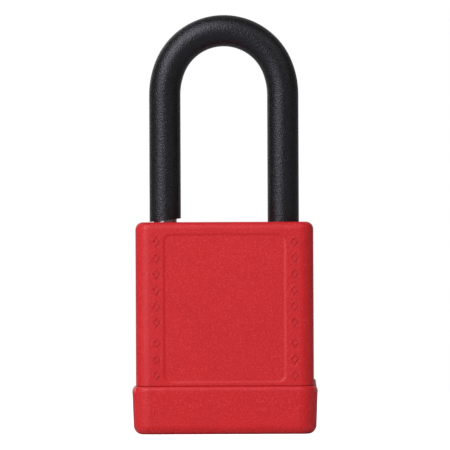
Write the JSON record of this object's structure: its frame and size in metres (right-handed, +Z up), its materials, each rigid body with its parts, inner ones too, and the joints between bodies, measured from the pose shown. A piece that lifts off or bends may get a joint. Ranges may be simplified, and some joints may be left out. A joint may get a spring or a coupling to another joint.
{
  "type": "safety padlock",
  "caption": "Safety lockout padlock: rounded red plastic shell over a brass lock body, with a tall sleeved steel shackle that lifts and a key cylinder below.",
  "frame": {"origin": "centre of the plastic shell's bottom face", "axes": "+Z up through the cylinder plug towards the shackle's crown, +X from the shackle's toe leg to its heel leg across the width, -Y out of the front"},
  "size_m": [0.04, 0.0216, 0.0906],
  "materials": {
    "red_plastic": "moulded, fine spark-eroded grain",
    "black_plastic": "matte, fine grain",
    "shackle_steel": "hardened, nickel plated, satin",
    "ball_steel": "ground and polished",
    "pin_steel": "drawn, satin",
    "spring_steel": "drawn wire",
    "brass": "machined, satin",
    "plug_brass": "turned, satin",
    "tumbler_brass": "turned",
    "cam_steel": "sintered"
  },
  "bodies": {
    "lock_case": {"cover": "red_plastic", "bottom_cap": "red_plastic", "lock_body": "brass", "heel_retaining_pin": "pin_steel", "plug_retaining_pin": "pin_steel", "ball_bore_plug": "brass", "shackle_spring": "spring_steel", "chamber_cap_1": "brass", "chamber_cap_2": "brass", "chamber_cap_3": "brass", "chamber_cap_4": "brass", "chamber_cap_5": "brass", "chamber_cap_6": "brass", "pin_spring_1": "spring_steel", "pin_spring_2": "spring_steel", "pin_spring_3": "spring_steel", "pin_spring_4": "spring_steel", "pin_spring_5": "spring_steel", "pin_spring_6": "spring_steel"},
    "shackle_arm": {"shackle": "shackle_steel", "shackle_sleeve": "black_plastic"},
    "cylinder_plug": {"plug": "plug_brass", "cam": "cam_steel"},
    "toe_ball": {"toe_ball": "ball_steel"},
    "heel_ball": {"heel_ball": "ball_steel"},
    "key_pin_1": {"key_pin_1": "tumbler_brass"},
    "key_pin_2": {"key_pin_2": "tumbler_brass"},
    "key_pin_3": {"key_pin_3": "tumbler_brass"},
    "key_pin_4": {"key_pin_4": "tumbler_brass"},
    "key_pin_5": {"key_pin_5": "tumbler_brass"},
    "key_pin_6": {"key_pin_6": "tumbler_brass"},
    "driver_pin_1": {"driver_pin_1": "tumbler_brass"},
    "driver_pin_2": {"driver_pin_2": "tumbler_brass"},
    "driver_pin_3": {"driver_pin_3": "tumbler_brass"},
    "driver_pin_4": {"driver_pin_4": "tumbler_brass"},
    "driver_pin_5": {"driver_pin_5": "tumbler_brass"},
    "driver_pin_6": {"driver_pin_6": "tumbler_brass"}
  },
  "joints": [
    {"name": "shackle_lift", "type": "slide", "parent": "lock_case", "child": "shackle_arm", "axis": [0, 0, 1], "range_m": [0, 0.0125], "deforming": ["shackle_spring"]},
    {"name": "plug_turn", "type": "hinge", "parent": "lock_case", "child": "cylinder_plug", "pos_m": [0, 0, 0], "axis": [0, 0, 1], "range_deg": [0, 90]},
    {"name": "toe_ball_slide", "type": "slide", "parent": "lock_case", "child": "toe_ball", "axis": [-1, 0, 0], "range_m": [0, 0.001]},
    {"name": "heel_ball_slide", "type": "slide", "parent": "lock_case", "child": "heel_ball", "axis": [1, 0, 0], "range_m": [0, 0.001]},
    {"name": "key_pin_1_slide", "type": "slide", "parent": "cylinder_plug", "child": "key_pin_1", "axis": [0, -1, 0], "range_m": [0, 0.0013]},
    {"name": "key_pin_2_slide", "type": "slide", "parent": "cylinder_plug", "child": "key_pin_2", "axis": [0, -1, 0], "range_m": [0, 0.0023]},
    {"name": "key_pin_3_slide", "type": "slide", "parent": "cylinder_plug", "child": "key_pin_3", "axis": [0, -1, 0], "range_m": [0, 0.00090005]},
    {"name": "key_pin_4_slide", "type": "slide", "parent": "cylinder_plug", "child": "key_pin_4", "axis": [0, -1, 0], "range_m": [0, 0.0019]},
    {"name": "key_pin_5_slide", "type": "slide", "parent": "cylinder_plug", "child": "key_pin_5", "axis": [0, -1, 0], "range_m": [0, 0.0015]},
    {"name": "key_pin_6_slide", "type": "slide", "parent": "cylinder_plug", "child": "key_pin_6", "axis": [0, -1, 0], "range_m": [0, 0.0027]},
    {"name": "driver_pin_1_slide", "type": "slide", "parent": "lock_case", "child": "driver_pin_1", "axis": [-1, 0, 0], "range_m": [0, 0.0015], "stiffness_N_per_m": 150, "springref_m": -0.001, "deforming": ["pin_spring_1"]},
    {"name": "driver_pin_2_slide", "type": "slide", "parent": "lock_case", "child": "driver_pin_2", "axis": [-1, 0, 0], "range_m": [0, 0.0015], "stiffness_N_per_m": 150, "springref_m": -0.001, "deforming": ["pin_spring_2"]},
    {"name": "driver_pin_3_slide", "type": "slide", "parent": "lock_case", "child": "driver_pin_3", "axis": [-1, 0, 0], "range_m": [0, 0.0015], "stiffness_N_per_m": 150, "springref_m": -0.001, "deforming": ["pin_spring_3"]},
    {"name": "driver_pin_4_slide", "type": "slide", "parent": "lock_case", "child": "driver_pin_4", "axis": [-1, 0, 0], "range_m": [0, 0.0015], "stiffness_N_per_m": 150, "springref_m": -0.001, "deforming": ["pin_spring_4"]},
    {"name": "driver_pin_5_slide", "type": "slide", "parent": "lock_case", "child": "driver_pin_5", "axis": [-1, 0, 0], "range_m": [0, 0.0015], "stiffness_N_per_m": 150, "springref_m": -0.001, "deforming": ["pin_spring_5"]},
    {"name": "driver_pin_6_slide", "type": "slide", "parent": "lock_case", "child": "driver_pin_6", "axis": [-1, 0, 0], "range_m": [0, 0.0015], "stiffness_N_per_m": 150, "springref_m": -0.001, "deforming": ["pin_spring_6"]}
  ],
  "couplings": [
    {"joint": "toe_ball_slide", "follows": "plug_turn", "m_per_rad": 0.00063662},
    {"joint": "heel_ball_slide", "follows": "plug_turn", "m_per_rad": 0.00063662},
    {"joint": "key_pin_2_slide", "follows": "key_pin_1_slide", "ratio": 1.7692},
    {"joint": "key_pin_3_slide", "follows": "key_pin_1_slide", "ratio": 0.69231},
    {"joint": "key_pin_4_slide", "follows": "key_pin_1_slide", "ratio": 1.4615},
    {"joint": "key_pin_5_slide", "follows": "key_pin_1_slide", "ratio": 1.1538},
    {"joint": "key_pin_6_slide", "follows": "key_pin_1_slide", "ratio": 2.0769},
    {"joint": "driver_pin_2_slide", "follows": "driver_pin_1_slide", "ratio": 1},
    {"joint": "driver_pin_3_slide", "follows": "driver_pin_1_slide", "ratio": 1},
    {"joint": "driver_pin_4_slide", "follows": "driver_pin_1_slide", "ratio": 1},
    {"joint": "driver_pin_5_slide", "follows": "driver_pin_1_slide", "ratio": 1},
    {"joint": "driver_pin_6_slide", "follows": "driver_pin_1_slide", "ratio": 1}
  ]
}
